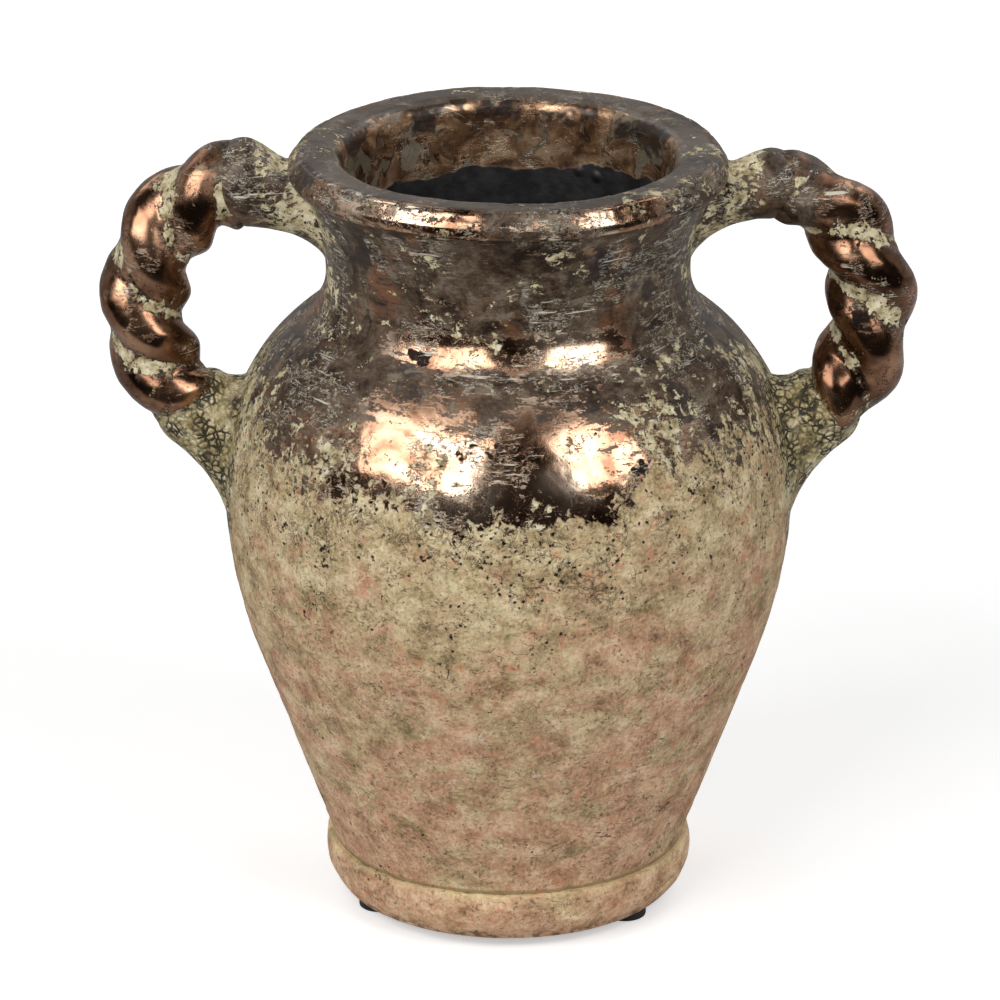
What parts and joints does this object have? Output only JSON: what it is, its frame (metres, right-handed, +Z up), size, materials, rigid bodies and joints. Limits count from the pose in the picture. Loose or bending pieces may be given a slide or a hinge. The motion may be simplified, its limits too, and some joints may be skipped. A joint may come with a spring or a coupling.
{
  "type": "urn vase",
  "caption": "Footed urn vase with a wide shoulder, a pinched neck, a rolled lip and twisted rope ear handles on either side.",
  "frame": {"origin": "on the vase's axis, in the plane that the rubber pads stand on", "axes": "+Z up along the vase's axis, +X through the right handle, -Y towards the front"},
  "size_m": [0.3034, 0.213, 0.2987],
  "materials": {
    "vessel_finish": "worn copper lustre glaze above, weathered bare clay below",
    "lustre_glaze": "dark copper lustre glaze, scuffed",
    "crusted_glaze": "pitted cream crust over dark glaze",
    "bare_clay": "weathered matte clay",
    "pad_rubber": "matte"
  },
  "bodies": {
    "root": {"vessel_body": "vessel_finish", "rim_lip": "lustre_glaze", "foot_ring": "bare_clay", "left_pad": "pad_rubber", "right_pad": "pad_rubber", "back_pad": "pad_rubber", "left_handle_strand_a": "lustre_glaze", "left_handle_strand_b": "lustre_glaze", "right_handle_strand_a": "lustre_glaze", "right_handle_strand_b": "lustre_glaze", "left_upper_root": "lustre_glaze", "right_upper_root": "lustre_glaze", "left_lower_root": "crusted_glaze", "right_lower_root": "crusted_glaze"}
  },
  "joints": []
}
